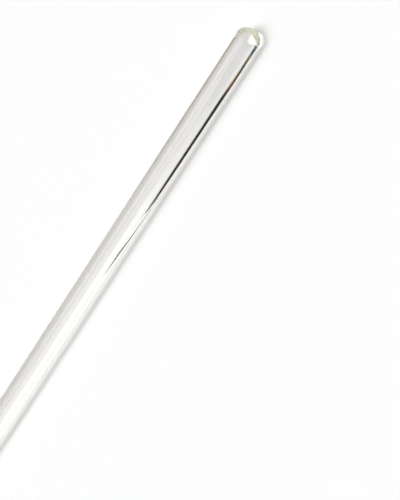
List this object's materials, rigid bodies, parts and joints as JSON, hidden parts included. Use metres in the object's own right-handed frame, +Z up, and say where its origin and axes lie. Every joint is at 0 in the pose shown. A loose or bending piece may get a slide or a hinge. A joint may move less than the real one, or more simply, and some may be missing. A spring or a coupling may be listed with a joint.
{
  "type": "glass stirring rod",
  "caption": "Straight solid round rod of clear glass for stirring liquids by hand, with both ends flame-rounded into smooth domes.",
  "frame": {"origin": "middle of the rod, on its axis", "axes": "+X along the rod's axis; +Z up when the rod lies on a bench, which is then at z = -3 mm"},
  "size_m": [0.2, 0.006, 0.006],
  "materials": {
    "glass": "clear, drawn and fire-polished, faintly green along its length"
  },
  "bodies": {
    "root": {"rod": "glass"}
  },
  "joints": []
}
